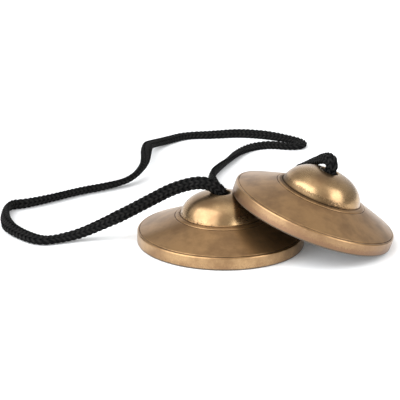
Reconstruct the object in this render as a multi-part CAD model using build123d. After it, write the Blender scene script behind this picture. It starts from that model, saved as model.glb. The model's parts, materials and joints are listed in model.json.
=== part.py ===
from build123d import *
import os
from math import acos, cos, degrees, radians, sin, sqrt, tan, pi

# Tingsha: two small cast bronze cymbals on one braided cord.
# Millimetres, +Z up. The lower cymbal lies flat on the table and the upper one leans on its bell.
# The origin is on the table under the middle of the two cymbals, and +X points to the upper one.

# Rim and bow of a cymbal
cymbal_diameter = 65.0
rim_height = 4.85
rim_face_width = 3.6
bow_angle = 21.0
bow_wall = 3.2
lower_edge_round = 0.6
upper_edge_round = 0.4
inner_edge_round = 0.5

# Bell of a cymbal, a dome with a cord hole at its top
bell_diameter = 30.4
bell_rise = 8.9
bell_wall = 2.8
hole_lip_round = 0.6

# Turned lines: one along the rim, two round the foot of the bell with a bead between them
groove_width = 0.55
groove_depth = 0.3
rim_groove_inset = 0.85
bead_width = 0.95
bead_height = 0.3
bell_groove_gap = 1.0

# How the upper cymbal leans, and the room left between the two at their contact
lean_angle = 18.6
seat_clearance = 0.2

# Cord, its play in the holes, its stopper knots and its sealed ends
cord_diameter = 3.8
cord_play = 3.0
cord_lift = 0.05
knot_diameter = 10.4
knot_height = 8.0
knot_clearance = 0.45
cord_end_taper = 0.2
cord_end_length = 3.2
cord_end_round = 0.9
lower_cord_offset = (-0.5, 0.0)
upper_cord_offset = (0.3, -0.6)
lower_exit_rise = 0.2
upper_exit_drop = 1.0
arc_share = 0.45

cymbal_radius = cymbal_diameter / 2
bell_radius = bell_diameter / 2
cord_radius = cord_diameter / 2
cord_end_radius = (cord_diameter - cord_end_taper) / 2
hole_radius = (cord_diameter + cord_play) / 2
knot_radius = knot_diameter / 2
cord_floor = cord_radius + cord_lift

bow_slope = tan(radians(bow_angle))
bow_drop = bow_wall / cos(radians(bow_angle))
bell_foot = rim_height + (cymbal_radius - bell_radius) * bow_slope
bell_top = bell_foot + bell_rise
inner_bell_radius = bell_radius - bell_wall
inner_bell_foot = rim_height + (cymbal_radius - inner_bell_radius) * bow_slope - bow_drop
inner_bell_rise = bell_top - bell_wall - inner_bell_foot
outer_lip = bell_foot + bell_rise * sqrt(1 - (hole_radius / bell_radius) ** 2)
inner_lip = inner_bell_foot + inner_bell_rise * sqrt(1 - (hole_radius / inner_bell_radius) ** 2)
knot_top = inner_lip - knot_clearance
knot_bottom = knot_top - knot_height


def on_bow(radius, lift=0.0):
    """A point of the bow's profile, moved out of its surface by lift."""
    x = radius + lift * sin(radians(bow_angle))
    z = rim_height + (cymbal_radius - radius) * bow_slope + lift * cos(radians(bow_angle))
    return (x, z)


def groove(radius):
    """The round bottom of a turned line, from its outer edge to its inner one."""
    half = groove_width / 2
    return ThreePointArc(on_bow(radius + half), on_bow(radius, -groove_depth), on_bow(radius - half))


def dome(foot, radius, rise):
    """A bell's profile, from its foot to the edge of the cord hole."""
    return EllipticalCenterArc((0, foot), radius, rise, arc_size=degrees(acos(hole_radius / radius)))


def ring_edge(solid, radius, height):
    """The round edge of a turned solid that lies nearest to a radius and a height."""
    circles = solid.edges().filter_by(GeomType.CIRCLE)
    return min(circles, key=lambda e: abs(e.radius - radius) + abs(e.arc_center.Z - height))


def make_cymbal():
    """One cymbal on its own axis, standing on the plane Z = 0."""
    half = groove_width / 2
    rim_groove = cymbal_radius - rim_groove_inset
    inner_groove = bell_radius + bell_groove_gap + half
    outer_groove = inner_groove + groove_width + bead_width
    bead_outer = outer_groove - half
    bead_inner = inner_groove + half
    bead_crown = on_bow((bead_outer + bead_inner) / 2, bead_height)
    inner_face = cymbal_radius - rim_face_width
    inner_face_top = rim_height + rim_face_width * bow_slope - bow_drop

    outline = [
        Line((inner_face, 0), (cymbal_radius, 0)),
        Line((cymbal_radius, 0), (cymbal_radius, rim_height)),
        Line((cymbal_radius, rim_height), on_bow(rim_groove + half)),
        groove(rim_groove),
        Line(on_bow(rim_groove - half), on_bow(outer_groove + half)),
        groove(outer_groove),
        ThreePointArc(on_bow(bead_outer), bead_crown, on_bow(bead_inner)),
        groove(inner_groove),
        Line(on_bow(inner_groove - half), (bell_radius, bell_foot)),
        dome(bell_foot, bell_radius, bell_rise),
        Line((hole_radius, outer_lip), (hole_radius, inner_lip)),
        dome(inner_bell_foot, inner_bell_radius, inner_bell_rise),
        Line((inner_bell_radius, inner_bell_foot), (inner_face, inner_face_top)),
        Line((inner_face, inner_face_top), (inner_face, 0)),
    ]
    turned = revolve(Plane.XZ * make_face(Wire(outline)), Axis.Z)
    for radius, height, size in (
        (cymbal_radius, 0, lower_edge_round),
        (cymbal_radius, rim_height, upper_edge_round),
        (inner_face, 0, inner_edge_round),
        (hole_radius, outer_lip, hole_lip_round),
        (hole_radius, inner_lip, hole_lip_round),
    ):
        turned = fillet(ring_edge(turned, radius, height), size)
    return turned


def make_knot(offset):
    """A stopper knot of two turns under the bell, with a flat where the cord meets it."""
    turn_radius = knot_height / 4
    flat = knot_radius - turn_radius
    middle = (knot_bottom + knot_top) / 2
    outline = [
        Line((0, knot_bottom), (flat, knot_bottom)),
        ThreePointArc((flat, knot_bottom), (knot_radius, middle - turn_radius), (flat, middle)),
        ThreePointArc((flat, middle), (knot_radius, middle + turn_radius), (flat, knot_top)),
        Line((flat, knot_top), (0, knot_top)),
        Line((0, knot_top), (0, knot_bottom)),
    ]
    return Pos(*offset, 0) * revolve(Plane.XZ * make_face(Wire(outline)), Axis.Z)


def make_cord_end(offset):
    """The short sealed end of the cord below a knot."""
    stub = Pos(*offset, knot_bottom - cord_end_length / 2) * Cylinder(cord_end_radius, cord_end_length)
    return fillet(ring_edge(stub, cord_end_radius, knot_bottom - cord_end_length), cord_end_round)


def make_tube(name, points):
    """A cord along straight runs, joined by arcs as large as the runs allow."""
    points = [Vector(*p) for p in points]
    radii = []
    for before, corner, after in zip(points, points[1:], points[2:]):
        arriving = corner - before
        leaving = after - corner
        half_turn = radians(arriving.get_angle(leaving)) / 2
        radii.append(arc_share * min(arriving.length, leaving.length) / tan(half_turn))
    path = FilletPolyline(*points, radius=radii)
    tube = sweep(Plane(origin=path @ 0, z_dir=path % 0) * Circle(cord_radius), path=path)
    section = pi * cord_radius**2
    print(name, "length", round(path.length, 1), "radii", [round(r, 1) for r in radii])
    print(name, "volume against section times length", round(tube.volume / (section * path.length), 4))
    return tube


# Where the two cymbals stand
cymbal = make_cymbal()
leaning = (Rot(0, lean_angle, 0) * cymbal).bounding_box()
lean = radians(lean_angle)
rim_lift = -leaning.min.Z
bell_reach = sqrt((bell_radius * tan(lean)) ** 2 + bell_rise**2)
axis_gap = (bell_foot + bell_reach + seat_clearance / cos(lean) - rim_lift) / tan(lean)
lower_x = (cymbal_radius - axis_gap - leaning.max.X) / 2
lower_place = Pos(lower_x, 0, 0)
upper_place = Pos(lower_x + axis_gap, 0, rim_lift) * Rot(0, lean_angle, 0)

# Ends of the cord, at the knots
lower_start = (*lower_cord_offset, knot_top)
lower_exit = (*lower_cord_offset, bell_top + lower_exit_rise)
upper_start = (upper_place * Pos(*upper_cord_offset, knot_top)).position
upper_exit = (upper_place * Pos(*upper_cord_offset, bell_top - upper_exit_drop)).position

# The cord's route over the table, from the lower cymbal's axis
near_strand = [
    lower_start,
    lower_exit,
    (-2.6, 0, bell_top + 3.1),
    (-8, 0, bell_top + 3.8),
    (-16.5, 0, 22.6),
    (-27, 0, 17.2),
    (-37, 0, 11.4),
    (-46.5, 0, 6.2),
    (-55, -1.5, 2.6),
]
left_bend = [
    (-62.5, -6.8, cord_floor),
    (-69.5, -9.8, cord_floor),
    (-77, -3.2, cord_floor),
    (-84, 5.5, cord_floor),
    (-87.2, 17, cord_floor),
    (-88.6, 28, cord_floor),
    (-87.8, 35.8, cord_floor),
    (-81, 37.4, cord_floor),
    (-71, 45, cord_floor),
    (-60, 56.5, cord_floor),
    (-49.5, 62, cord_floor),
]
raised_kink = [
    (-41, 69, 2.4),
    (-36.2, 76, 4.4),
    (-33.4, 87, 6.6),
    (-33.6, 102, 6.6),
    (-33.6, 118, 5.2),
    (-31.6, 127.5, 3.4),
]
far_strand = [
    (-25, 138.5, cord_floor),
    (-16, 148, cord_floor),
    (-3, 150.5, cord_floor),
    (10, 155, cord_floor),
    (24, 152.5, cord_floor),
    (35, 146, cord_floor),
]
hairpin = [
    (42.2, 140.6, cord_floor),
    (41.4, 133.2, cord_floor),
    (34, 132.4, cord_floor),
    (25, 135, cord_floor),
    (16, 131, cord_floor),
    (9, 120, cord_floor),
    (4.5, 107, cord_floor),
    (-0.5, 94.5, cord_floor),
    (-4, 83, cord_floor),
    (-3.6, 73, cord_floor),
]
lead_start = (-2.5, 68, cord_floor)
behind_cymbals = [
    (-1.4, 63, cord_floor),
    (5, 54.5, cord_floor),
    (14.5, 51.5, cord_floor),
    (25, 52.3, cord_floor),
    (33, 51.8, cord_floor),
    (39, 47.5, 3.6),
]
over_far_rim = [
    (40.4, 41.5, 9.5),
    (37.6, 36.2, 16),
    (33.6, 31, 19.6),
    (31, 25.2, 22),
    (31.6, 19.6, 24.8),
    (34.8, 14.8, 28.5),
    (38.4, 8.4, 32.2),
    (40.5, 2.9, 35.7),
    (42, -0.9, 33.5),
]


def from_lower_axis(points):
    return [(x + lower_x, y, z) for x, y, z in points]


loop_points = near_strand + left_bend + raised_kink + far_strand + hairpin + [lead_start]
lead_points = from_lower_axis([lead_start] + behind_cymbals + over_far_rim) + [upper_exit, upper_start]

nodes = {
    "lower_cymbal": lower_place * cymbal,
    "upper_cymbal": upper_place * cymbal,
    "lower_knot": lower_place * make_knot(lower_cord_offset),
    "upper_knot": upper_place * make_knot(upper_cord_offset),
    "lower_cord_end": lower_place * make_cord_end(lower_cord_offset),
    "upper_cord_end": upper_place * make_cord_end(upper_cord_offset),
    "cord_loop": make_tube("cord_loop", from_lower_axis(loop_points)),
    "cord_lead": make_tube("cord_lead", lead_points),
}

os.makedirs("parts", exist_ok=True)
for name, solid in nodes.items():
    export_step(solid, f"parts/{name}.step")

tilt_axis = upper_place * Pos(cymbal_radius - lower_edge_round, 0, lower_edge_round)
hole_centre = upper_place * Pos(0, 0, bell_top)
print("lower axis x", round(lower_x, 3), "upper rim centre", upper_place.position)
print("tilt axis", tilt_axis.position, "upper hole", hole_centre.position)
for first, second in (
    ("lower_cymbal", "upper_cymbal"),
    ("lower_knot", "lower_cymbal"),
    ("upper_knot", "upper_cymbal"),
    ("cord_loop", "lower_cymbal"),
    ("cord_lead", "upper_cymbal"),
    ("cord_loop", "upper_cymbal"),
):
    print("gap", first, second, round(nodes[first].distance_to(nodes[second]), 3))
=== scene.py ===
import json
from math import acos, asin, atan2, cos, pi, radians, sin, sqrt, tan

import bpy
import numpy as np
from mathutils import Matrix, Quaternion, Vector


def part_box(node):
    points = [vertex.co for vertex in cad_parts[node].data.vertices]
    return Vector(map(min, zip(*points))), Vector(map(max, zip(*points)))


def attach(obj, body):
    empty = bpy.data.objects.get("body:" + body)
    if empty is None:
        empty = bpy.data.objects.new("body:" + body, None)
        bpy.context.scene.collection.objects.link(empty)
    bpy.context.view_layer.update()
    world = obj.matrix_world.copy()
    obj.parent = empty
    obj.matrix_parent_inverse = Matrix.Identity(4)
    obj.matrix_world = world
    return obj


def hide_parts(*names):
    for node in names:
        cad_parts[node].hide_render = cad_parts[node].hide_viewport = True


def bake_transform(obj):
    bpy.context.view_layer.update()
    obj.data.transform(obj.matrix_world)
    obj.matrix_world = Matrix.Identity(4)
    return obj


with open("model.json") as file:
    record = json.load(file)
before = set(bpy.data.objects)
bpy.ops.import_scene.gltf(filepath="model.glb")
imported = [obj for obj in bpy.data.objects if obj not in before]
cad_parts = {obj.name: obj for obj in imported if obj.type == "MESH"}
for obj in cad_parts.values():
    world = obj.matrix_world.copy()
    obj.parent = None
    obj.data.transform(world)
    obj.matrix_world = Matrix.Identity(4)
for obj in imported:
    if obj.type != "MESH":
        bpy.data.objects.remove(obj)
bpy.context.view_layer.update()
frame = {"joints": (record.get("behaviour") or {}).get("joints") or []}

bl_info = {
    "name": "Tingsha cymbals",
    "version": (1, 0, 0),
    "blender": (4, 5, 0),
    "location": "3D View > Sidebar > Tingsha",
    "description": "Two cast bronze cymbals on one black braided cord, on a white studio table",
    "category": "Object",
}

# The object's frame: metres, +Z up, and the two cymbals' axes as the joints give them
mm = 0.001
joints = {joint["name"]: joint for joint in frame["joints"]}
lower_axis = Vector(joints["lower_cymbal_spin"]["pos_m"])
upper_hole = Vector(joints["upper_cymbal_spin"]["pos_m"])
upper_normal = Vector(joints["upper_cymbal_spin"]["axis"]).normalized()
lower_low, lower_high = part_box("lower_cymbal")
rim_across = lower_high.x - lower_low.x
lean = atan2(upper_normal.x, upper_normal.z)


def linear(hex_colour):
    """An sRGB hex value as linear red, green and blue."""
    channels = [int(hex_colour[i : i + 2], 16) / 255 for i in (0, 2, 4)]
    return tuple(c / 12.92 if c <= 0.04045 else ((c + 0.055) / 1.055) ** 2.4 for c in channels)


def length(name, description, size_mm):
    """A length that a user may change, given in millimetres."""
    return number(name, description, size_mm * mm, unit="LENGTH", precision=5)


def tilt(name, description, degrees):
    """An angle that a user may change, given in degrees."""
    return number(name, description, radians(degrees), subtype="ANGLE")


def number(name, description, default, **settings):
    """A number that a user may change."""
    return bpy.props.FloatProperty(name=name, description=description, default=default, **settings)


def colour(name, description, hex_colour):
    """A colour that a user may change."""
    return bpy.props.FloatVectorProperty(
        name=name, description=description, subtype="COLOR", min=0, max=1, default=linear(hex_colour)
    )


class TingshaCymbalSettings(bpy.types.PropertyGroup):
    """Sizes and colours of one cymbal; both are from the same mould."""

    diameter: length("Diameter", "Across the rim", rim_across / mm)
    rim_height: length("Rim height", "Height of the upright rim", 4.85)
    rim_face_width: length("Rim face", "Width of the flat ring that it stands on", 3.6)
    bow_angle: tilt("Bow angle", "Slope between rim and bell", 22)
    bow_wall: length("Bow wall", "Thickness of the sloping part", 3.2)
    lower_edge_round: length("Lower edge", "Rounding of the rim's outer foot", 0.6)
    upper_edge_round: length("Upper edge", "Rounding of the rim's top edge", 0.6)
    inner_edge_round: length("Inner edge", "Rounding of the rim's inner foot", 0.5)
    bell_diameter: length("Bell diameter", "Across the foot of the bell", 31.5)
    bell_rise: length("Bell rise", "Height of the bell above the bow", 8.7734)
    bell_cut: number("Bell cut", "Share of its full oval left out at the foot", 0.22, subtype="FACTOR")
    bell_fullness: number("Bell fullness", "2 for an oval, more for fuller shoulders", 2.25, min=1)
    bell_wall: length("Bell wall", "Thickness of the bell", 2.8)
    hole_diameter: length("Hole", "Cord hole at the top of the bell", 6.8)
    hole_lip_round: length("Hole lip", "Rounding of the hole's two edges", 0.6)
    groove_width: length("Line width", "Width of a turned line", 0.5)
    groove_depth: length("Line depth", "Depth of a turned line", 0.1)
    rim_groove_inset: length("Rim line inset", "Line's distance from the edge", 0.85)
    bead_width: length("Bead width", "Bead between the two lines at the bell", 1.4)
    bead_height: length("Bead height", "How far the bead stands proud", 0.06)
    bell_groove_gap: length("Bell line gap", "From the bell's foot to the first line", 0.05)
    sides: bpy.props.IntProperty(name="Sides", description="Facets round the axis", default=256, min=32)
    bronze: colour("Bronze", "Buffed bronze of the bow", "b48c5d")
    polished: colour("Polished bronze", "Paler metal of the bell and the rim's wall", "ba986b")
    tarnish: colour("Tarnish", "Browner metal in the blotches", "856440")
    struck: colour("Struck rim", "Copper-brown metal on the rim's wall", "856448")
    patina: colour("Patina", "Dark film in the low places", "33291d")
    cast_skin: colour("Cast skin", "Rough metal inside, never buffed", "5e564a")


class TingshaCordSettings(bpy.types.PropertyGroup):
    """Sizes and colours of the braided cord."""

    width: length("Width", "Wide side of the flattened braid", 5.0)
    thickness: length("Thickness", "Thin side of the flattened braid", 2.3)
    strands: bpy.props.IntProperty(name="Strands", description="Yarns laid each way", default=8, min=2)
    lay: length("Lay", "Length in which a yarn goes once round", 17.0)
    yarn_width: length("Yarn width", "Across one yarn", 1.15)
    yarn_thickness: length("Yarn thickness", "Through one flattened yarn", 0.75)
    weave: length("Weave", "How far a yarn rises over and dips under", 0.3)
    step: length("Step", "Spacing of the rings along a yarn", 0.5)
    knot_cord: length("Cord in the knot", "Thickness of the cord where it is pulled tight", 3.0)
    knot_diameter: length("Knot diameter", "Across a stopper knot", 10.4)
    knot_height: length("Knot height", "Height of a stopper knot", 8.0)
    yarn: colour("Yarn", "Dyed yarn in the light", "282725")
    gaps: colour("Gaps", "Yarn in the shade between stitches", "030303")
    melt: colour("Melted end", "Yarn melted shut", "121211")


class TingshaStageSettings(bpy.types.PropertyGroup):
    """Camera, light and floor of the studio."""

    camera_place: bpy.props.FloatVectorProperty(
        name="Camera",
        description="Where the camera stands",
        default=(-0.025617, -0.515249, 0.184674),
        subtype="TRANSLATION",
        unit="LENGTH",
    )
    camera_pitch: tilt("Pitch", "How far the camera looks down", 18.04)
    camera_roll: tilt("Roll", "How far the camera leans", 0.84)
    lens: number("Lens", "Focal length on a 36 mm frame", 126.0)
    floor: colour("Floor", "White paper", "f7f7f5")
    light: colour("Light", "Daylight tubes in the soft boxes", "f6f9ff")
    floor_glow: number("Floor glow", "Light that comes up through the paper", 0.08, min=0)
    left_light: number("Left soft box", "Brightness beside the white paper's 1", 3.0, min=0)
    right_light: number("Right soft box", "Brightness beside the white paper's 1", 3.1, min=0)


def add(tree, kind, links=None, **settings):
    """A new node with its settings, and its inputs linked or set to values.

    A node that is given for an input stands for the first of its outputs that is in use.
    """
    node = tree.nodes.new(kind)
    for name, value in settings.items():
        setattr(node, name, value)
    for socket, source in (links or {}).items():
        if isinstance(source, bpy.types.Node):
            source = next(output for output in source.outputs if output.enabled)
        if isinstance(source, bpy.types.NodeSocket):
            tree.links.new(source, node.inputs[socket])
        else:
            node.inputs[socket].default_value = source
    return node


def bare_tree(owner):
    """The node tree of a material or a world, emptied."""
    owner.use_nodes = True
    owner.node_tree.nodes.clear()
    return owner.node_tree


def new_tree(name, inputs):
    """A geometry node tree with named inputs, and the sockets that give them in the tree."""
    tree = bpy.data.node_groups.new(name, "GeometryNodeTree")
    tree.interface.new_socket("Geometry", in_out="INPUT", socket_type="NodeSocketGeometry")
    for label, socket_type in inputs:
        tree.interface.new_socket(label, in_out="INPUT", socket_type=socket_type)
    tree.interface.new_socket("Geometry", in_out="OUTPUT", socket_type="NodeSocketGeometry")
    return tree, add(tree, "NodeGroupInput").outputs


def end_tree(tree, geometry, material):
    """Closes a tree: smooth, realised and with its material."""
    smooth = add(tree, "GeometryNodeSetShadeSmooth", {"Geometry": geometry})
    real = add(tree, "GeometryNodeRealizeInstances", {"Geometry": smooth})
    dressed = add(tree, "GeometryNodeSetMaterial", {"Geometry": real, "Material": material})
    add(tree, "NodeGroupOutput", {"Geometry": dressed})


def made_by(tree, name, base, values):
    """A plain mesh object that a tree makes from a base mesh and its named inputs."""
    piece = bpy.data.objects.new(name, base)
    bpy.context.scene.collection.objects.link(piece)
    modifier = piece.modifiers.new(tree.name, "NODES")
    modifier.node_group = tree
    for item in tree.interface.items_tree:
        if item.in_out == "INPUT" and item.name in values:
            modifier[item.identifier] = values[item.name]
    graph = bpy.context.evaluated_depsgraph_get()
    mesh = bpy.data.meshes.new_from_object(piece.evaluated_get(graph), depsgraph=graph)
    piece.modifiers.remove(modifier)
    piece.data = mesh
    mesh.name = name
    return piece


def line_mesh(name, points, closed, **attributes):
    """A mesh of edges through points, with an attribute for each named list of values."""
    count = len(points)
    edges = [(i, (i + 1) % count) for i in range(count if closed else count - 1)]
    mesh = bpy.data.meshes.new(name)
    mesh.from_pydata([tuple(p) for p in points], edges, [])
    for label, values in attributes.items():
        values = np.asarray(values, np.float32)
        kind, field = ("FLOAT_VECTOR", "vector") if values.ndim == 2 else ("FLOAT", "value")
        mesh.attributes.new(label, kind, "POINT").data.foreach_set(field, values.ravel())
    return mesh


# Cymbals


def arc_through(start, middle, end, steps):
    """Points of the arc through three points, ends included."""
    (ax, az), (bx, bz), (cx, cz) = start, middle, end
    turn = 2 * (ax * (bz - cz) + bx * (cz - az) + cx * (az - bz))
    a, b, c = ax * ax + az * az, bx * bx + bz * bz, cx * cx + cz * cz
    x = (a * (bz - cz) + b * (cz - az) + c * (az - bz)) / turn
    z = (a * (cx - bx) + b * (ax - cx) + c * (bx - ax)) / turn
    radius = sqrt((ax - x) ** 2 + (az - z) ** 2)
    first = atan2(az - z, ax - x)
    sweep = atan2(cz - z, cx - x) - first
    sweep = (sweep + pi) % (2 * pi) - pi
    angles = [first + sweep * i / steps for i in range(steps + 1)]
    return [(x + radius * cos(t), z + radius * sin(t)) for t in angles]


def rounded(before, corner, after, radius, steps):
    """Points of the arc that rounds a corner between two straight runs."""
    corner = Vector(corner)
    back = (Vector(before) - corner).normalized()
    on = (Vector(after) - corner).normalized()
    half = back.angle(on) / 2
    cut = radius / tan(half)
    centre = corner + (back + on).normalized() * radius / sin(half)
    crown = centre + (corner - centre).normalized() * radius
    return arc_through(corner + back * cut, crown, corner + on * cut, steps)


class Outline:
    """The turned profile of a cymbal: points with what the metal is like there."""

    support = 0.12 * mm

    def __init__(self):
        self.points, self.groove, self.worn, self.inside = [], [], [], []

    def lay(self, points, groove=False, worn=0.0, inside=0.0):
        """Adds points, with short straight runs kept beside their ends so that the shading stays flat."""
        first = Vector(points[0])
        if self.points:
            last = Vector(self.points[-1])
            run = first - last
            if run.length > 3 * self.support:
                nudge = run.normalized() * self.support
                self.mark([last + nudge, first - nudge], False, 0.0, inside)
        self.mark(points, groove, worn, inside)

    def mark(self, points, groove, worn, inside):
        """Adds points with their marks; a groove's mark is strongest in its middle."""
        for i, point in enumerate(points):
            self.points.append(tuple(point))
            self.groove.append(sin(pi * i / (len(points) - 1)) ** 2 if groove else 0.0)
            self.worn.append(worn)
            self.inside.append(inside)


def bell_foot(s):
    """Height of the bell's foot above the ring that the cymbal stands on."""
    return s.rim_height + (s.diameter - s.bell_diameter) / 2 * tan(s.bow_angle)


def bell_top(s):
    """Height of the bell's full dome above the ring that the cymbal stands on."""
    return bell_foot(s) + s.bell_rise


def cymbal_outline(s):
    """The profile of a cymbal, once round from the inner edge of the ring that it stands on."""
    edge_steps, line_steps, dome_steps, inner_dome_steps = 6, 8, 44, 24
    skin, foot_skin, lip_wear = 1.0, 0.85, 0.6
    slope = tan(s.bow_angle)
    rim = s.diameter / 2
    bell = s.bell_diameter / 2
    hole = s.hole_diameter / 2
    half = s.groove_width / 2
    bow_drop = s.bow_wall / cos(s.bow_angle)

    def on_bow(radius, lift=0.0):
        height = s.rim_height + (rim - radius) * slope
        return (radius + lift * sin(s.bow_angle), height + lift * cos(s.bow_angle))

    def groove(radius):
        sides = on_bow(radius + half), on_bow(radius - half)
        return arc_through(sides[0], on_bow(radius, -s.groove_depth), sides[1], line_steps)

    def dome(foot, radius, rise, cut, fullness, steps):
        power = 2 / fullness
        tall = rise / (1 - cut)
        wide = radius / (1 - cut**fullness) ** (1 / fullness)
        start = asin(cut ** (1 / power))
        end = acos(((hole + s.hole_lip_round) / wide) ** (1 / power))
        angles = [start + (end - start) * i / steps for i in range(steps + 1)]
        return [(wide * cos(t) ** power, foot + tall * (sin(t) ** power - cut)) for t in angles]

    inner_face = rim - s.rim_face_width
    inner_face_top = s.rim_height + s.rim_face_width * slope - bow_drop
    rim_groove = rim - s.rim_groove_inset
    inner_groove = bell + s.bell_groove_gap + half
    outer_groove = inner_groove + s.groove_width + s.bead_width
    bead_crown = on_bow((outer_groove + inner_groove) / 2, s.bead_height)
    bead = arc_through(on_bow(outer_groove - half), bead_crown, on_bow(inner_groove + half), line_steps)
    foot = on_bow(bell)[1]
    inner_bell = bell - s.bell_wall
    inner_foot = s.rim_height + (rim - inner_bell) * slope - bow_drop
    inner_rise = foot + s.bell_rise - s.bell_wall - inner_foot
    outer_dome = dome(foot, bell, s.bell_rise, s.bell_cut, s.bell_fullness, dome_steps)
    inner_dome = dome(inner_foot, inner_bell, inner_rise, 0, 2, inner_dome_steps)
    lip = s.hole_lip_round
    bend = lip * (1 - cos(pi / 4))
    top = outer_dome[-1][1]
    under = inner_dome[-1][1]
    over_lip = arc_through((hole + lip, top), (hole + bend, top - bend), (hole, top - lip), edge_steps)
    under_lip = arc_through(
        (hole, under + lip), (hole + bend, under + bend), (hole + lip, under), edge_steps
    )
    inner_edge = rounded((inner_face, rim), (inner_face, 0), (rim, 0), s.inner_edge_round, edge_steps)
    lower_edge = rounded((0, 0), (rim, 0), (rim, rim), s.lower_edge_round, line_steps)
    upper_edge = rounded((rim, 0), (rim, s.rim_height), on_bow(bell), s.upper_edge_round, line_steps)

    outline = Outline()
    outline.lay(inner_edge, inside=skin)
    outline.lay(lower_edge, inside=foot_skin)
    outline.lay(upper_edge, worn=1.0)
    outline.lay(groove(rim_groove), groove=True)
    outline.lay(groove(outer_groove), groove=True)
    outline.lay(bead[1:-1])
    outline.lay(groove(inner_groove), groove=True)
    outline.lay(outer_dome)
    outline.lay(over_lip[1:], worn=lip_wear)
    outline.lay(under_lip[:-1], inside=skin)
    outline.lay(inner_dome[::-1], inside=skin)
    outline.lay([(inner_face, inner_face_top)], inside=skin)
    # The wall of the hole gets the turned lines' dark mark: painted shade, where the cord in the hole shades
    # it
    hole_wall = hole + 0.2 * mm
    for i, (radius, height) in enumerate(outline.points):
        if radius < hole_wall:
            outline.groove[i] = 1.0
    # Turned from its last point to its first, the faces point outwards
    for row in (outline.points, outline.groove, outline.worn, outline.inside):
        row.reverse()
    return outline


def turning_tree():
    """Turns a profile round an upright axis, and keeps each point's place before it is set down."""
    inputs = [
        ("Sides", "NodeSocketInt"),
        ("Spindle", "NodeSocketFloat"),
        ("Material", "NodeSocketMaterial"),
    ]
    tree, given = new_tree("Turned form", inputs)
    profile = add(tree, "GeometryNodeMeshToCurve", {"Mesh": given["Geometry"]})
    back = add(tree, "ShaderNodeMath", {0: given["Spindle"], 1: -1.0}, operation="MULTIPLY")
    shift = add(tree, "ShaderNodeCombineXYZ", {"X": back})
    blade = add(
        tree,
        "GeometryNodeTransform",
        {"Geometry": profile, "Translation": shift, "Scale": (1, -1, 1)},
    )
    spindle = add(
        tree,
        "GeometryNodeCurvePrimitiveCircle",
        {"Resolution": given["Sides"], "Radius": given["Spindle"]},
        mode="RADIUS",
    )
    turned = add(tree, "GeometryNodeCurveToMesh", {"Curve": spindle, "Profile Curve": blade})
    place = add(tree, "GeometryNodeInputPosition")
    kept = add(
        tree,
        "GeometryNodeStoreNamedAttribute",
        {"Geometry": turned, "Name": "turned", "Value": place},
        data_type="FLOAT_VECTOR",
        domain="POINT",
    )
    end_tree(tree, kept, given["Material"])
    return tree


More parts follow.
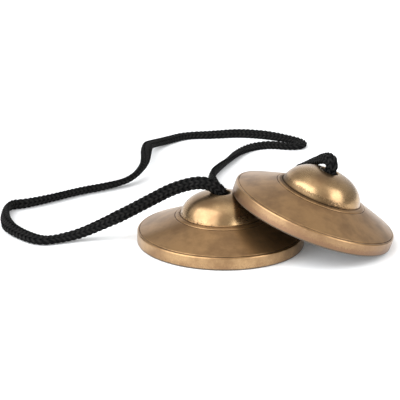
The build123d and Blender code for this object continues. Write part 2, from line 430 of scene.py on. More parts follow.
def bronze_material(name, s, seed, film_share, film_turn, gap_turn, rim_dull_and_shade):
    """Bell bronze, cast, turned and buffed by hand.

    Buffing leaves a satin that blurs reflections and fine lines round the axis. Handling dulls it in
    blotches, and a dark film stays where the buff can't reach: in the turned lines and at the bell's foot.
    """
    material = bpy.data.materials.new(name)
    tree = bare_tree(material)

    # Sizes in millimetres; buffing lines are finer, and are drawn so far apart that they just show
    blotch_size, speckle_size, buffing_line, pit_spacing = 9, 0.5, 0.5, 2.6
    rim = s.diameter / 2 / mm
    rim_top = s.rim_height / mm
    bell = s.bell_diameter / 2 / mm
    foot = bell_foot(s) / mm

    # Places on the cymbal as it was turned, in millimetres, and the marks of its profile
    place = add(tree, "ShaderNodeAttribute", attribute_name="turned").outputs["Vector"]
    in_mm = add(tree, "ShaderNodeVectorMath", {0: place, "Scale": 1 / mm}, operation="SCALE")
    seeded = add(tree, "ShaderNodeVectorMath", {0: in_mm, 1: (seed, -seed, 0)}, operation="ADD")
    axes = add(tree, "ShaderNodeSeparateXYZ", {0: in_mm}).outputs
    height = axes["Z"]
    flat = add(tree, "ShaderNodeCombineXYZ", {"X": axes["X"], "Y": axes["Y"]})
    radius = add(tree, "ShaderNodeVectorMath", {0: flat}, operation="LENGTH").outputs["Value"]
    spin = add(tree, "ShaderNodeMath", {0: axes["Y"], 1: axes["X"]}, operation="ARCTAN2")
    # The groove mark is patina in the turned lines, and painted shade on the wall of the hole
    groove, worn, inside = [
        add(tree, "ShaderNodeAttribute", attribute_name=mark).outputs["Fac"]
        for mark in ("groove", "worn", "inside")
    ]

    # Zones that fade in between two heights and between two distances from the axis
    zones = {}
    for zone, heights, radii in (
        ("wall", (rim_top, rim_top - 0.5), (rim - 0.3, rim - 0.05)),
        ("bell foot", (foot + 3.8, foot - 0.2), (bell + 2.5, bell + 0.3)),
        ("corner", (foot + 0.5, foot + 0.1), (bell + 0.45, bell + 0.1)),
    ):
        sides = {}
        for side, (measure, (start, end)) in enumerate(((radius, radii), (height, heights))):
            sides[side] = add(
                tree,
                "ShaderNodeMapRange",
                {"Value": measure, "From Min": start, "From Max": end},
                interpolation_type="SMOOTHSTEP",
            )
        zones[zone] = add(tree, "ShaderNodeMath", sides, operation="MULTIPLY")
    on_bell = add(
        tree,
        "ShaderNodeMapRange",
        {"Value": height, "From Min": foot, "From Max": foot + 0.8},
        interpolation_type="SMOOTHSTEP",
    )
    rubbed = add(tree, "ShaderNodeMath", {0: on_bell, 1: zones["wall"]}, operation="MAXIMUM")

    # Tarnish in soft blotches
    blotch = add(
        tree,
        "ShaderNodeTexNoise",
        {"Vector": seeded, "Scale": 1 / blotch_size, "Detail": 5.0, "Roughness": 0.6},
    )
    tarnished = add(
        tree,
        "ShaderNodeMapRange",
        {"Value": blotch, "From Min": 0.35, "From Max": 0.7, "To Max": 0.8},
        interpolation_type="SMOOTHSTEP",
    )

    # Dark film round the bell's foot, thicker on one side, speckled and gone about 4 mm up the bell
    speckle = add(
        tree,
        "ShaderNodeTexNoise",
        {"Vector": seeded, "Scale": 1 / speckle_size, "Detail": 3.0, "Roughness": 0.6},
    )
    facing = []
    for turn in (film_turn, gap_turn):
        off = add(tree, "ShaderNodeMath", {0: spin, 1: turn}, operation="SUBTRACT")
        facing.append(add(tree, "ShaderNodeMath", {0: off}, operation="COSINE"))
    film_side, gap_side = facing
    side = add(
        tree,
        "ShaderNodeMapRange",
        {"Value": film_side, "From Min": -0.2, "From Max": 0.9, "To Min": -0.1, "To Max": film_share},
        interpolation_type="SMOOTHSTEP",
    )
    grain = add(tree, "ShaderNodeMath", {0: speckle, 1: 3.0, 2: -1.5}, operation="MULTIPLY_ADD")
    grainy = add(tree, "ShaderNodeMath", {0: side, 1: grain}, operation="ADD")
    thickness = add(tree, "ShaderNodeMath", {0: zones["bell foot"], 1: grainy}, operation="MULTIPLY")
    film = add(
        tree,
        "ShaderNodeMapRange",
        {"Value": thickness, "From Min": 0.25, "From Max": 0.7, "To Max": 0.65},
        interpolation_type="SMOOTHSTEP",
    )

    # Dark in the turned lines and in the corner at the bell's foot, rubbed away on a stretch of the rim; the
    # same mark is painted shade on the wall of the hole, where the cord in it shades it
    gap = add(
        tree,
        "ShaderNodeMapRange",
        {"Value": gap_side, "From Min": cos(radians(7.5)), "From Max": cos(radians(5.5))},
        interpolation_type="SMOOTHSTEP",
    )
    near_rim = add(tree, "ShaderNodeMath", {0: radius, 1: bell * 1.5}, operation="GREATER_THAN")
    rubbed_off = add(tree, "ShaderNodeMath", {0: gap, 1: near_rim}, operation="MULTIPLY")
    left = add(
        tree,
        "ShaderNodeMapRange",
        {"Value": rubbed_off, "To Min": 1.0, "To Max": 0.1},
        interpolation_type="SMOOTHSTEP",
    )
    patchy = add(
        tree,
        "ShaderNodeMapRange",
        {"Value": blotch, "From Min": 0.35, "From Max": 0.6, "To Min": 0.6, "To Max": 1.0},
        interpolation_type="SMOOTHSTEP",
    )
    kept = add(tree, "ShaderNodeMath", {0: left, 1: patchy}, operation="MULTIPLY")
    line = add(tree, "ShaderNodeMath", {0: groove, 1: kept}, operation="MULTIPLY")
    low = add(tree, "ShaderNodeMath", {0: line, 1: film}, operation="ADD")
    dark = add(
        tree,
        "ShaderNodeMath",
        {0: zones["corner"], 1: 0.15, 2: low},
        operation="MULTIPLY_ADD",
        use_clamp=True,
    )

    # The rim's wall, browner and speckled where it is struck, and darker towards its foot; the share is set
    # for each cymbal, and the upper cymbal's large share is painted shade: the darker reflection of the
    # shaded floor and of the lower cymbal that its wall faces
    dull = add(
        tree,
        "ShaderNodeMapRange",
        {
            "Value": speckle,
            "From Min": 0.3,
            "From Max": 0.75,
            "To Min": rim_dull_and_shade - 0.2,
            "To Max": rim_dull_and_shade + 0.3,
        },
        interpolation_type="SMOOTHSTEP",
    )
    lower = add(
        tree,
        "ShaderNodeMapRange",
        {"Value": height, "From Min": 3.4, "From Max": 0.5, "To Min": 0.6, "To Max": 1.6},
        interpolation_type="SMOOTHSTEP",
    )
    dull_and_shaded_wall = add(tree, "ShaderNodeMath", {0: zones["wall"], 1: dull}, operation="MULTIPLY")
    struck = add(tree, "ShaderNodeMath", {0: dull_and_shaded_wall, 1: lower}, operation="MULTIPLY", use_clamp=True)

    # The colours, each laid over the last by its share; a Mix has its share at 0 and its colours at 6 and 7
    metal = (*s.bronze, 1)
    for share, over in (
        (rubbed, s.polished),
        (tarnished, s.tarnish),
        (struck, s.struck),
        (dark, s.patina),
        (inside, s.cast_skin),
    ):
        metal = add(tree, "ShaderNodeMix", {0: share, 6: metal, 7: (*over, 1)}, data_type="RGBA")

    # Buffing lines round the axis
    ring = add(tree, "ShaderNodeCombineXYZ", {"X": radius, "Y": height, "Z": spin})
    lines = add(
        tree,
        "ShaderNodeTexNoise",
        {"Vector": ring, "Scale": 1 / buffing_line, "Detail": 2.0, "Roughness": 0.5},
    )

    # Satin: duller in blotches, on the bow and the wall, in the film and inside, brighter on rubbed edges
    satin = add(
        tree,
        "ShaderNodeMapRange",
        {"Value": blotch, "From Min": 0.3, "From Max": 0.7, "To Min": 0.21, "To Max": 0.29},
    )
    bow = add(
        tree,
        "ShaderNodeMapRange",
        {"Value": height, "From Min": foot + 0.4, "From Max": foot - 0.1, "To Max": 0.14},
        interpolation_type="SMOOTHSTEP",
    )
    rough = add(tree, "ShaderNodeMath", {0: satin, 1: bow}, operation="ADD")
    for mark, change in (
        (zones["wall"], 0.08),
        (lines, 0.06),
        (dark, 0.3),
        (worn, -0.1),
        (inside, 0.25),
    ):
        rough = add(tree, "ShaderNodeMath", {0: mark, 1: change, 2: rough}, operation="MULTIPLY_ADD")
    rough.use_clamp = True

    # Relief: buffing lines, small casting pits and the skin inside
    pits = add(
        tree,
        "ShaderNodeTexVoronoi",
        {"Vector": seeded, "Scale": 1 / pit_spacing, "Randomness": 1.0},
        feature="F1",
    )
    pitted = add(
        tree,
        "ShaderNodeMapRange",
        {"Value": pits, "From Min": 0.05, "From Max": 0.11},
        interpolation_type="SMOOTHSTEP",
    )
    skin = add(tree, "ShaderNodeMath", {0: speckle, 1: inside, 2: pitted}, operation="MULTIPLY_ADD")
    relief = add(tree, "ShaderNodeMath", {0: lines, 1: 0.25, 2: skin}, operation="MULTIPLY_ADD")
    bump = add(tree, "ShaderNodeBump", {"Height": relief, "Strength": 0.045, "Distance": 0.1 * mm})
    clean = add(
        tree,
        "ShaderNodeMapRange",
        {"Value": dark, "To Min": 0.5, "To Max": 0.0},
        interpolation_type="SMOOTHSTEP",
    )
    shader = add(
        tree,
        "ShaderNodeBsdfPrincipled",
        {
            "Base Color": metal,
            "Metallic": 1.0,
            "Roughness": rough,
            "Coat Weight": clean,
            "Coat Roughness": 0.28,
            "Normal": bump,
        },
    )
    add(tree, "ShaderNodeOutputMaterial", {"Surface": shader})
    return material


def lower_place():
    """Where the flat cymbal's own frame stands."""
    return Matrix.Translation((lower_axis.x, lower_axis.y, 0))


def upper_place(s):
    """Where the leaning cymbal's own frame stands: its axis passes through its hole."""
    foot = upper_hole - upper_normal * bell_top(s)
    return Matrix.Translation(foot) @ Matrix.Rotation(lean, 4, "Y")


class OBJECT_OT_tingsha_cymbals(bpy.types.Operator):
    """Turns both bronze cymbals and sets one down and the other leaning on its bell"""

    bl_idname = "object.tingsha_cymbals"
    bl_label = "Cymbals"

    def execute(self, context):
        s = context.scene.tingsha_cymbal
        tree = turning_tree()
        outline = cymbal_outline(s)
        # Each one's own wear: seed, share and side of the film, gap in the rim's line, dullness of the rim,
        # which on the upper cymbal is mostly painted shade
        for node, place, seed, film_share, film_turn, gap_turn, rim_dull_and_shade in (
            ("lower_cymbal", lower_place(), 3.0, 0.35, radians(190), radians(70), 0.25),
            ("upper_cymbal", upper_place(s), 61.0, 1.15, radians(225), radians(250.5), 0.8),
        ):
            name = f"{node}_bronze"
            base = line_mesh(
                name,
                [(x, z, 0) for x, z in outline.points],
                True,
                groove=outline.groove,
                worn=outline.worn,
                inside=outline.inside,
            )
            metal = bronze_material(name, s, seed, film_share, film_turn, gap_turn, rim_dull_and_shade)
            values = {"Sides": s.sides, "Spindle": mm, "Material": metal}
            piece = made_by(tree, name, base, values)
            piece.data.transform(place)
            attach(piece, node)
            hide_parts(node)
        return {"FINISHED"}


# Cord

# In millimetres: where the cord comes over the far rim, from the lower cymbal's axis, and where it
# enters the upper hole, from that hole's axis
rim_crossing = (37.6, 36.2, 16)
upper_entry = (0.3, -0.6)


def cord_route(s, c):
    """The cord's control points in millimetres from the lower cymbal's axis, from knot to knot."""
    tipped_up = 0.35
    top = bell_top(s) / mm
    floor = c.thickness / 2 / mm + tipped_up
    knot_top = knot_seat(s) / mm
    upper = Matrix.Translation((-lower_axis.x, 0, 0)) @ upper_place(s)
    near_strand = [
        (-0.3, 0, knot_top),
        (1.4, 0, top - 1.4),
        (-3.9, 0, 23.2),
        (-8.3, 0, 24.0),
        (-13, 0, 23.2),
        (-19.5, 0, 21.0),
        (-27, 0, 16.8),
        (-37, 0, 11.1),
        (-46.2, 0, 6.4),
        (-54.7, -1.5, 2.9),
    ]
    left_bend = [
        (-62.3, -4.2, 1.7),
        (-69.4, -7.3, 1.7),
        (-76.9, -1.2, 1.8),
        (-83.7, 7.4, 2.0),
        (-86.6, 17.2, 2.3),
        (-87.9, 28, 2.3),
        (-86.7, 34.6, 2.35),
        (-80.5, 36.4, 2.35),
        (-70.7, 45.0, 2.2),
        (-59.7, 55.7, 2.1),
        (-49.2, 62.6, 2.1),
    ]
    raised_kink = [
        (-40.7, 69.3, 2.4),
        (-35.7, 76.1, 4.2),
        (-33.1, 87, 6.6),
        (-33.3, 101.8, 6.6),
        (-33.2, 117.6, 5.2),
        (-31.2, 126.9, 3.4),
    ]
    far_strand = [
        (-24.6, 139.8, floor),
        (-15.6, 149.6, floor),
        (-2.7, 150.6, 1.65),
        (10.3, 154.2, 1.8),
        (24.2, 151.6, 1.75),
        (34.6, 145.9, floor),
    ]
    hairpin = [
        (40.8, 140.5, floor),
        (40, 133.1, floor),
        (34.2, 132.3, floor),
        (25.2, 135, floor),
        (16.3, 131.1, floor),
        (9.6, 121.2, floor),
        (5.1, 107.5, 1.8),
        (0.2, 93.1, 2.35),
        (-3.3, 80.5, 2.6),
        (-3.3, 71.5, 2.5),
    ]
    behind_cymbals = [
        (-1.4, 62.8, 1.9),
        (5, 54.5, floor),
        (14.5, 51.5, floor),
        (25, 52.3, floor),
        (33, 51.8, floor),
        (39, 47.5, 3.6),
    ]
    over_far_rim = [
        (40.4, 41.5, 9.5),
        rim_crossing,
        (33.8, 31, 19.6),
        (31.8, 26.2, 21.6),
        (32.6, 21.4, 24.8),
        (35.0, 17.0, 27.5),
        (37.4, 11.9, 30.3),
        (40.6, 2.6, 34.1),
        (42.4, -0.9, 32.7),
    ]
    into_upper_hole = [
        tuple(upper @ (Vector((*upper_entry, height)) * mm) / mm) for height in (top - 1, knot_top)
    ]
    loop = near_strand + left_bend + raised_kink + far_strand + hairpin
    lead = behind_cymbals + over_far_rim + into_upper_hole
    return loop, lead


# How far the braid's wide side is turned from lying flat, at distances along the cord
roll_stations = [
    (0, -58), (12, -60), (26, -82), (44, -88), (51, -42), (58, -28), (66, -16), (74, -6),
    (84, -18), (98, -22), (107, -58), (118, -62), (132, -58), (146, -47), (174, -42), (184, -36),
    (191, -48), (199, -82), (207, -122), (215, -148), (225, -162), (274, -165), (298, -143),
    (310, -143), (336, -180), (354, -203), (364, -192), (372, -176), (381, -158), (392, -142),
    (402, -118), (414, -100), (420, -106), (440, -180), (516, -180), (530, -138), (548, -130),
]


def knot_seat(s):
    """Height of the top of a stopper knot, a little under the bell's inner lip."""
    play = 0.45 * mm
    hole = s.hole_diameter / 2
    inner_bell = s.bell_diameter / 2 - s.bell_wall
    drop = s.bow_wall / cos(s.bow_angle)
    foot = s.rim_height + (s.diameter / 2 - inner_bell) * tan(s.bow_angle) - drop
    rise = bell_top(s) - s.bell_wall - foot
    return foot + rise * sqrt(1 - (hole / inner_bell) ** 2) - play


def smooth_line(name, points):
    """Points read along the smooth NURBS line that has these control points, in metres."""
    curve = bpy.data.curves.new(name, "CURVE")
    curve.dimensions = "3D"
    curve.resolution_u = 24
    spline = curve.splines.new("NURBS")
    spline.points.add(len(points) - 1)
    for target, point in zip(spline.points, points):
        target.co = (*point, 1)
    spline.order_u = 3
    spline.use_endpoint_u = True
    holder = bpy.data.objects.new(name, curve)
    bpy.context.scene.collection.objects.link(holder)
    graph = bpy.context.evaluated_depsgraph_get()
    mesh = bpy.data.meshes.new_from_object(holder.evaluated_get(graph), depsgraph=graph)
    line = np.array([v.co for v in mesh.vertices])
    bpy.data.objects.remove(holder)
    bpy.data.curves.remove(curve)
    bpy.data.meshes.remove(mesh)
    return line


def distances(line):
    """Distance along a line of points from its first one."""
    return np.concatenate([[0], np.cumsum(np.linalg.norm(np.diff(line, axis=0), axis=1))])


def cross_axes(line, along, stations):
    """The braid's wide and thin directions along a line: level where it lies, carried on where it stands."""
    lying = 0.4
    tangent = np.gradient(line, axis=0)
    tangent /= np.linalg.norm(tangent, axis=1)[:, None]
    level = np.cross((0, 0, 1), tangent)
    size = np.linalg.norm(level, axis=1)
    first = np.flatnonzero(size > lying)[0]
    wide = np.zeros_like(line)
    for i in [*range(first, len(line)), *range(first - 1, -1, -1)]:
        if size[i] > lying:
            wide[i] = level[i] / size[i]
            continue
        beside = wide[i - 1] if i > first else wide[i + 1]
        wide[i] = beside - tangent[i] * np.dot(beside, tangent[i])
        wide[i] /= np.linalg.norm(wide[i])
    thin = np.cross(tangent, wide)
    places, turns = np.array(stations, float).T
    roll = np.radians(np.interp(along / mm, places, turns))[:, None]
    return wide * np.cos(roll) + thin * np.sin(roll), thin * np.cos(roll) - wide * np.sin(roll)


def braid_tree():
    """Lays yarns both ways round a line in a herringbone: over two, under two."""
    inputs = [
        ("Strands", "NodeSocketInt"),
        ("Lay", "NodeSocketFloat"),
        ("Width", "NodeSocketFloat"),
        ("Thickness", "NodeSocketFloat"),
        ("Yarn Width", "NodeSocketFloat"),
        ("Yarn Thickness", "NodeSocketFloat"),
        ("Weave", "NodeSocketFloat"),
        ("Step", "NodeSocketFloat"),
        ("Yarn", "NodeSocketMaterial"),
    ]
    tree, given = new_tree("Braided cord", inputs)
    along, wide, thin, aim = [
        add(tree, "GeometryNodeInputNamedAttribute", {"Name": label}, data_type=data_type)
        for label, data_type in (
            ("along", "FLOAT"),
            ("wide", "FLOAT_VECTOR"),
            ("thin", "FLOAT_VECTOR"),
            ("outward", "FLOAT_VECTOR"),
        )
    ]

    # One copy of the line for each yarn, half of them laid each way
    route = add(tree, "GeometryNodeMeshToCurve", {"Mesh": given["Geometry"]})
    even = add(tree, "GeometryNodeResampleCurve", {"Curve": route, "Length": given["Step"]}, mode="LENGTH")
    amount = add(tree, "ShaderNodeMath", {0: given["Strands"], 1: 2.0}, operation="MULTIPLY")
    yarns = add(
        tree, "GeometryNodeDuplicateElements", {"Geometry": even, "Amount": amount}, domain="SPLINE"
    )
    index = yarns.outputs["Duplicate Index"]
    first_half = add(tree, "ShaderNodeMath", {0: index, 1: given["Strands"]}, operation="LESS_THAN")
    way = add(tree, "ShaderNodeMath", {0: first_half, 1: 2.0, 2: -1.0}, operation="MULTIPLY_ADD")
    turns = add(tree, "ShaderNodeMath", {0: along, 1: given["Lay"]}, operation="DIVIDE")
    start = add(tree, "ShaderNodeMath", {0: index, 1: given["Strands"]}, operation="DIVIDE")
    share = add(tree, "ShaderNodeMath", {0: turns, 1: way, 2: start}, operation="MULTIPLY_ADD")
    turn = add(tree, "ShaderNodeMath", {0: share, 1: 2 * pi}, operation="MULTIPLY")

    # The columns of stitches: one way's yarns are on top in half of them, the other's in the rest
    columns = add(tree, "ShaderNodeMath", {0: given["Strands"], 1: 2.0}, operation="DIVIDE")
    column = add(tree, "ShaderNodeMath", {0: turn, 1: columns}, operation="MULTIPLY")
    wave = add(tree, "ShaderNodeMath", {0: column}, operation="SINE")
    rise = add(tree, "ShaderNodeMath", {0: wave, 1: way}, operation="MULTIPLY")
    lift = add(tree, "ShaderNodeMath", {0: rise, 1: given["Weave"]}, operation="MULTIPLY")

    # The oval on which the yarns' middles lie
    inset = add(tree, "ShaderNodeMath", {0: given["Yarn Thickness"], 1: 0.5}, operation="MULTIPLY")
    halves = []
    for size in ("Width", "Thickness"):
        half = add(tree, "ShaderNodeMath", {0: given[size], 1: 0.5}, operation="MULTIPLY")
        halves.append(add(tree, "ShaderNodeMath", {0: half, 1: inset}, operation="SUBTRACT"))
    half_width, half_thickness = halves

    # The yarns lie evenly round the oval, so they turn faster at its narrow ends
    excess = add(tree, "ShaderNodeMath", {0: half_width, 1: half_thickness}, operation="SUBTRACT")
    total = add(tree, "ShaderNodeMath", {0: half_width, 1: half_thickness}, operation="ADD")
    uneven = add(tree, "ShaderNodeMath", {0: excess, 1: total}, operation="DIVIDE")
    most = add(tree, "ShaderNodeMath", {0: uneven, 1: 0.5}, operation="MULTIPLY")
    twice = add(tree, "ShaderNodeMath", {0: turn, 1: 2.0}, operation="MULTIPLY")
    swing = add(tree, "ShaderNodeMath", {0: twice}, operation="SINE")
    haste = add(tree, "ShaderNodeMath", {0: swing, 1: most}, operation="MULTIPLY")
    angle = add(tree, "ShaderNodeMath", {0: turn, 1: haste}, operation="ADD")
    across = add(tree, "ShaderNodeMath", {0: angle}, operation="COSINE")
    up = add(tree, "ShaderNodeMath", {0: angle}, operation="SINE")
    slopes, places = {}, {}
    for i, (axis, reach, half) in enumerate(((wide, across, half_width), (thin, up, half_thickness))):
        steep = add(tree, "ShaderNodeMath", {0: reach, 1: half}, operation="DIVIDE")
        far = add(tree, "ShaderNodeMath", {0: reach, 1: half}, operation="MULTIPLY")
        slopes[i] = add(tree, "ShaderNodeVectorMath", {0: axis, "Scale": steep}, operation="SCALE")
        places[i] = add(tree, "ShaderNodeVectorMath", {0: axis, "Scale": far}, operation="SCALE")
    slope = add(tree, "ShaderNodeVectorMath", slopes, operation="ADD")
    outward = add(tree, "ShaderNodeVectorMath", {0: slope}, operation="NORMALIZE")
    on_oval = add(tree, "ShaderNodeVectorMath", places, operation="ADD")
    offset = add(
        tree, "ShaderNodeVectorMath", {0: outward, 1: lift, 2: on_oval}, operation="MULTIPLY_ADD"
    )
    laid = add(tree, "GeometryNodeSetPosition", {"Geometry": yarns, "Offset": offset})
    faced = add(tree, "GeometryNodeSetCurveNormal", {"Curve": laid, "Normal": outward}, mode="FREE")

    # Each yarn is a flattened ring drawn along its line; its rise and its crown are kept for the painted
    # light and shade of the stitches
    flattened = add(
        tree, "ShaderNodeCombineXYZ", {"X": given["Yarn Thickness"], "Y": given["Yarn Width"], "Z": 1.0}
    )
    ring = add(tree, "GeometryNodeCurvePrimitiveCircle", {"Resolution": 6, "Radius": 0.5}, mode="RADIUS")
    section = add(tree, "GeometryNodeTransform", {"Geometry": ring, "Scale": flattened})
    marked = add(
        tree,
        "GeometryNodeStoreNamedAttribute",
        {"Geometry": faced, "Name": "rise", "Value": rise},
        data_type="FLOAT",
        domain="POINT",
    )
    aimed = add(
        tree,
        "GeometryNodeStoreNamedAttribute",
        {"Geometry": marked, "Name": "outward", "Value": outward},
        data_type="FLOAT_VECTOR",
        domain="POINT",
    )
    braid = add(
        tree, "GeometryNodeCurveToMesh", {"Curve": aimed, "Profile Curve": section, "Fill Caps": True}
    )
    facing = add(tree, "GeometryNodeInputNormal").outputs["Normal"]
    crown = add(tree, "ShaderNodeVectorMath", {0: facing, 1: aim}, operation="DOT_PRODUCT")
    crowned = add(
        tree,
        "GeometryNodeStoreNamedAttribute",
        {"Geometry": braid, "Name": "crown", "Value": crown.outputs["Value"]},
        data_type="FLOAT",
        domain="POINT",
    )
    end_tree(tree, crowned, given["Yarn"])
    return tree


def yarn_material(c):
    """Black polyester yarn, twisted and braided.

    It is dull; painted glints streak its colour, with painted light on the tops of the stitches and painted
    shade at their sides and where a yarn dips under the others.
    """
    # Sizes in millimetres; filaments are 0.02 mm thick, and are drawn coarser so that their painted glints
    # show
    filament, dusty_patch = 0.5, 2.4
    material = bpy.data.materials.new("black_braid")
    tree = bare_tree(material)
    place = add(tree, "ShaderNodeTexCoord").outputs["Object"]
    in_mm = add(tree, "ShaderNodeVectorMath", {0: place, "Scale": 1 / mm}, operation="SCALE")
    rise, crown = [
        add(tree, "ShaderNodeAttribute", attribute_name=mark).outputs["Fac"] for mark in ("rise", "crown")
    ]
    glint = add(
        tree,
        "ShaderNodeTexNoise",
        {"Vector": in_mm, "Scale": 1 / filament, "Detail": 3.0, "Roughness": 0.7},
    )
    dust = add(tree, "ShaderNodeTexNoise", {"Vector": in_mm, "Scale": 1 / dusty_patch, "Detail": 2.0})

    # Painted light on top of a stitch and painted shade at its ends and sides, broken by painted glints in
    # streaks and by dusty patches
    over = add(
        tree,
        "ShaderNodeMapRange",
        {"Value": rise, "From Min": 0.0, "From Max": 0.9},
        interpolation_type="SMOOTHSTEP",
    )
    top = add(
        tree,
        "ShaderNodeMapRange",
        {"Value": crown, "From Min": 0.35, "From Max": 1.0},
        interpolation_type="SMOOTHSTEP",
    )
    dusty = add(
        tree,
        "ShaderNodeMapRange",
        {"Value": dust, "From Min": 0.3, "From Max": 0.7, "To Min": 0.35, "To Max": 1.0},
    )
    painted_glint = add(
        tree,
        "ShaderNodeMapRange",
        {"Value": glint, "From Min": 0.3, "From Max": 0.7, "To Min": 0.5, "To Max": 1.0},
    )
    painted_light_and_shade = over
    for share in (top, dusty, painted_glint):
        painted_light_and_shade = add(tree, "ShaderNodeMath", {0: painted_light_and_shade, 1: share}, operation="MULTIPLY")
    dye_and_painted_light = add(tree, "ShaderNodeMix", {0: painted_light_and_shade, 6: (*c.gaps, 1), 7: (*c.yarn, 1)}, data_type="RGBA")
    bump = add(tree, "ShaderNodeBump", {"Height": glint, "Strength": 0.4, "Distance": 0.1 * mm})
    shader = add(
        tree,
        "ShaderNodeBsdfPrincipled",
        {"Base Color": dye_and_painted_light, "Roughness": 0.75, "Specular IOR Level": 0.12, "Normal": bump},
    )
    add(tree, "ShaderNodeOutputMaterial", {"Surface": shader})
    return material


def braid_values(c, yarn):
    """A braid tree's inputs as the cord's settings give them."""
    return {
        "Strands": c.strands,
        "Lay": c.lay,
        "Width": c.width,
        "Thickness": c.thickness,
        "Yarn Width": c.yarn_width,
        "Yarn Thickness": c.yarn_thickness,
        "Weave": c.weave,
        "Step": c.step,
        "Yarn": yarn,
    }


def melted_material(c):
    """Polyester braid melted shut with a flame: it sets hard, nearly smooth and a little glossy."""
    lump_size = 0.9
    material = bpy.data.materials.new("melted_end")
    tree = bare_tree(material)
    place = add(tree, "ShaderNodeTexCoord").outputs["Object"]
    in_mm = add(tree, "ShaderNodeVectorMath", {0: place, "Scale": 1 / mm}, operation="SCALE")
    lumps = add(tree, "ShaderNodeTexNoise", {"Vector": in_mm, "Scale": 1 / lump_size, "Detail": 2.0})
    gloss = add(tree, "ShaderNodeMapRange", {"Value": lumps, "To Min": 0.2, "To Max": 0.55})
    char = add(tree, "ShaderNodeMix", {0: lumps, 6: (*c.gaps, 1), 7: (*c.melt, 1)}, data_type="RGBA")
    bump = add(tree, "ShaderNodeBump", {"Height": lumps, "Strength": 0.6, "Distance": 0.3 * mm})
    shader = add(
        tree, "ShaderNodeBsdfPrincipled", {"Base Color": char, "Roughness": gloss, "Normal": bump}
    )
    add(tree, "ShaderNodeOutputMaterial", {"Surface": shader})
    return material


def knot_route(s, c, entry):
    """A stopper knot in millimetres in the cymbal's frame: down, round outside, back and out below."""
    top = knot_seat(s) / mm
    bottom = top - c.knot_height / mm
    half = c.knot_cord / mm / 2
    ring = c.knot_diameter / mm / 2 - half
    turns, steps, start = 1.6, 20, 1.2
    x, y = entry
    inward = [
        (x, y, top + 0.5),
        (x, y, top - 2.0),
        (0, 0, bottom + 3.5),
        (1.2, 1.4, bottom + half + 0.2),
    ]
    coils = []
    for i in range(steps + 1):
        angle = start + 2 * pi * turns * i / steps
        climb = bottom + half + (top - bottom - 2 * half) * i / steps
        coils.append((ring * cos(angle), ring * sin(angle), climb))
    crossing = Vector(coils[-1]) * 0.5
    tuck = [(crossing.x, crossing.y, top - half - 0.4), (-0.9, -0.7, top - 4.0)]
    tail = [(-0.8, -0.5, bottom + 1.5), (-0.3, -0.2, bottom - 0.6), (0, 0, bottom - 2.0)]
    return inward + coils + tuck + tail


def melted_outline(s, c):
    """The profile of a melted end: a short skirt of braid that closes in a lump."""
    bottom = knot_seat(s) - c.knot_height
    radius = c.knot_cord / 2
    # Shares of the cord's radius, and millimetres below the knot
    skirt = [(0.02, -0.6), (0.8, -0.7), (1.0, -1.0), (1.08, -1.6)]
    lump = [(1.12, -2.2), (1.0, -2.7), (0.7, -3.0), (0.02, -3.15)]
    return [(radius * share, bottom + drop * mm) for share, drop in skirt + lump]


class OBJECT_OT_tingsha_knots(bpy.types.Operator):
    """Ties the two stopper knots inside the bells, with their melted ends"""

    bl_idname = "object.tingsha_knots"
    bl_label = "Knots and melted ends"

    def execute(self, context):
        s = context.scene.tingsha_cymbal
        c = context.scene.tingsha_cord
        end_sides = 32
        yarn = yarn_material(c)
        melted = melted_material(c)
        braiding = braid_tree()
        turning = turning_tree()
        for side, body, place, entry in (
            ("lower", "cord", lower_place(), (-0.5, 0)),
            ("upper", "upper_cord", upper_place(s), upper_entry),
        ):
            line = smooth_line(f"{side}_knot_line", [Vector(p) * mm for p in knot_route(s, c, entry)])
            along = distances(line)
            wide, thin = cross_axes(line, along, [(0, 0)])
            base = line_mesh(f"{side}_knot", line, False, along=along, wide=wide, thin=thin)
            values = braid_values(c, yarn)
            values["Width"] = values["Thickness"] = c.knot_cord
            knot = made_by(braiding, f"{side}_knot_braid", base, values)
            outline = [(x, z, 0) for x, z in melted_outline(s, c)]
            base = line_mesh(f"{side}_end", outline, True)
            values = {"Sides": end_sides, "Spindle": mm, "Material": melted}
            end = made_by(turning, f"{side}_melted_end", base, values)
            for piece, node, slot in (
                (knot, f"{side}_knot", "cord"),
                (end, f"{side}_cord_end", "sealed_end"),
            ):
                piece.data.transform(place)
                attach(piece, body)
                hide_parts(node)
        return {"FINISHED"}


class OBJECT_OT_tingsha_cord(bpy.types.Operator):
    """Braids the cord along its route, as one line in two pieces"""

    bl_idname = "object.tingsha_cord"
    bl_label = "Cord"

    def execute(self, context):
        s = context.scene.tingsha_cymbal
        c = context.scene.tingsha_cord
        loop, lead = cord_route(s, c)
        shift = Vector((lower_axis.x, lower_axis.y, 0))
        line = smooth_line("cord_line", [Vector(p) * mm + shift for p in loop + lead])
        along = distances(line)
        wide, thin = cross_axes(line, along, roll_stations)
        meeting = (Vector(loop[-1]) + Vector(lead[0])) / 2 * mm + shift
        cut = int(np.argmin(np.linalg.norm(line - np.array(meeting), axis=1)))
        spans = {"cord_loop": slice(0, cut + 1), "cord_lead": slice(cut, len(line))}
        tree = braid_tree()
        yarn = yarn_material(c)
        pieces = {}
        for node, span in spans.items():
            base = line_mesh(
                node, line[span], False, along=along[span], wide=wide[span], thin=thin[span]
            )
            pieces[node] = made_by(tree, f"{node}_braid", base, braid_values(c, yarn))
            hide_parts(node)
        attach(pieces["cord_loop"], "cord")
        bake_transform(pieces["cord_lead"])
        lower_exit = Vector((lower_axis.x, lower_axis.y, bell_top(s)))
        for node, exit, side in (
            ("cord_loop", lower_exit, "lower"),
            ("cord_lead", upper_hole, "upper"),
        ):
            span = spans[node]
        return {"FINISHED"}


# Studio


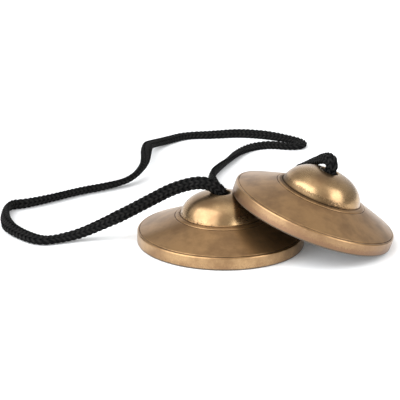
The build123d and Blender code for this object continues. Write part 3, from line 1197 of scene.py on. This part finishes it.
def studio_world():
    """The white room round the table: bright paper low at the back, dimmer walls and a light ceiling."""
    world = bpy.data.worlds.new("studio")
    tree = bare_tree(world)
    facing = add(tree, "ShaderNodeTexCoord").outputs["Generated"]
    axes = add(tree, "ShaderNodeSeparateXYZ", {0: facing}).outputs

    # Light at heights from the horizon, 0, to straight above, 1: on the camera's side and behind the cymbals
    shades = []
    for stops in (
        [(0.0, 0.46), (0.35, 0.52), (0.65, 0.55), (0.87, 0.6), (0.97, 0.9), (1.0, 1.2)],
        [(0.0, 1.0), (0.18, 0.95), (0.36, 0.76), (0.6, 0.5), (0.8, 0.42), (0.92, 0.58), (1.0, 1.2)],
    ):
        ramp = add(tree, "ShaderNodeValToRGB", {"Fac": axes["Z"]})
        while len(ramp.color_ramp.elements) < len(stops):
            ramp.color_ramp.elements.new(0.5)
        for element, (height, light) in zip(ramp.color_ramp.elements, stops):
            element.position = height
            element.color = (light, light, light, 1)
        shades.append(ramp)
    behind = add(
        tree,
        "ShaderNodeMapRange",
        {"Value": axes["Y"], "From Min": -0.35, "From Max": 0.35},
        interpolation_type="SMOOTHSTEP",
    )
    room = add(tree, "ShaderNodeMix", {0: behind, 6: shades[0], 7: shades[1]}, data_type="RGBA")

    # The room is dimmer low at the sides
    off_left = add(tree, "ShaderNodeMath", {0: axes["X"], 1: 0.15}, operation="ADD")
    sideways = add(tree, "ShaderNodeMath", {0: off_left}, operation="ABSOLUTE")
    low = add(tree, "ShaderNodeMath", {0: 1.0, 1: axes["Z"]}, operation="SUBTRACT")
    corner = add(tree, "ShaderNodeMath", {0: sideways, 1: low}, operation="MULTIPLY")
    dim = add(
        tree,
        "ShaderNodeMapRange",
        {"Value": corner, "From Min": 0.15, "From Max": 0.75, "To Min": 1.18, "To Max": 0.4},
        interpolation_type="SMOOTHSTEP",
    )
    glow = add(tree, "ShaderNodeBackground", {"Color": room, "Strength": dim})
    add(tree, "ShaderNodeOutputWorld", {"Surface": glow})
    return world


def paper_material(s):
    """White background paper: matt, and lit from below too, so that it shows no edge."""
    material = bpy.data.materials.new("white_paper")
    tree = bare_tree(material)
    shader = add(
        tree,
        "ShaderNodeBsdfPrincipled",
        {
            "Base Color": (*s.floor, 1),
            "Roughness": 0.9,
            "Specular IOR Level": 0.1,
            "Emission Color": (1, 1, 1, 1),
            "Emission Strength": s.floor_glow,
        },
    )
    add(tree, "ShaderNodeOutputMaterial", {"Surface": shader})
    return material


def soft_box(name, turn, height, across, tall, lean_over, brightness, shade):
    """A soft box 1 m from the cymbals, placed and sized by the angles at which they see it."""
    away = 1.0
    target = Vector((0, 0, 0.015))
    place = target + away * Vector((sin(turn) * cos(height), -cos(turn) * cos(height), sin(height)))
    light = bpy.data.lights.new(name, "AREA")
    light.shape = "RECTANGLE"
    light.size = 2 * away * tan(across / 2)
    light.size_y = 2 * away * tan(tall / 2)
    light.color = shade
    light.energy = brightness / shade[1] * pi * light.size * light.size_y
    lamp = bpy.data.objects.new(name, light)
    lamp.location = place
    lamp.rotation_mode = "QUATERNION"
    aim = (target - place).to_track_quat("-Z", "Y")
    lamp.rotation_quaternion = aim @ Quaternion((0, 0, 1), lean_over)
    bpy.context.scene.collection.objects.link(lamp)


class OBJECT_OT_tingsha_stage(bpy.types.Operator):
    """Sets up the white table, the soft boxes and the camera"""

    bl_idname = "object.tingsha_stage"
    bl_label = "Stage"

    def execute(self, context):
        s = context.scene.tingsha_stage
        scene = context.scene
        scene.view_settings.view_transform = "Standard"

        floor_half = 6.0
        mesh = bpy.data.meshes.new("floor")
        corners = [(-1, -1), (1, -1), (1, 1), (-1, 1)]
        mesh.from_pydata([(x * floor_half, y * floor_half, 0) for x, y in corners], [], [(0, 1, 2, 3)])
        mesh.materials.append(paper_material(s))
        floor = bpy.data.objects.new("floor", mesh)
        scene.collection.objects.link(floor)
        scene.world = studio_world()

        # Each box's angles: turn to the right, height, width, tallness, and how far it leans over
        for name, angles, brightness in (
            ("left_soft_box", (-55, 32, 66, 80, 18), s.left_light),
            ("right_soft_box", (55, 23, 30, 80, -35), s.right_light),
        ):
            soft_box(name, *(radians(angle) for angle in angles), brightness, s.light)

        view = bpy.data.cameras.new("camera")
        view.sensor_width = 36.0
        view.lens = s.lens
        view.clip_start, view.clip_end = 0.01, 20.0
        camera = bpy.data.objects.new("camera", view)
        aim = Matrix.Rotation(pi / 2 - s.camera_pitch, 4, "X") @ Matrix.Rotation(s.camera_roll, 4, "Z")
        camera.matrix_world = Matrix.Translation(s.camera_place) @ aim
        scene.collection.objects.link(camera)
        scene.camera = camera
        return {"FINISHED"}


class VIEW3D_PT_tingsha(bpy.types.Panel):
    """The steps that dress the cymbals"""

    bl_idname = "VIEW3D_PT_tingsha"
    bl_label = "Tingsha"
    bl_space_type = "VIEW_3D"
    bl_region_type = "UI"
    bl_category = "Tingsha"

    def draw(self, context):
        for operator in operators:
            self.layout.operator(operator.bl_idname)


operators = (
    OBJECT_OT_tingsha_stage,
    OBJECT_OT_tingsha_cymbals,
    OBJECT_OT_tingsha_knots,
    OBJECT_OT_tingsha_cord,
)
settings = {
    "tingsha_cymbal": TingshaCymbalSettings,
    "tingsha_cord": TingshaCordSettings,
    "tingsha_stage": TingshaStageSettings,
}


def register():
    for name, group in settings.items():
        bpy.utils.register_class(group)
        setattr(bpy.types.Scene, name, bpy.props.PointerProperty(type=group))
    for operator in operators:
        bpy.utils.register_class(operator)
    bpy.utils.register_class(VIEW3D_PT_tingsha)


def unregister():
    bpy.utils.unregister_class(VIEW3D_PT_tingsha)
    for operator in reversed(operators):
        bpy.utils.unregister_class(operator)
    for name, group in settings.items():
        delattr(bpy.types.Scene, name)
        bpy.utils.unregister_class(group)


def main():
    register()
    bpy.ops.object.tingsha_stage()
    bpy.ops.object.tingsha_cymbals()
    bpy.ops.object.tingsha_knots()
    bpy.ops.object.tingsha_cord()


if __name__ == "__main__":
    main()
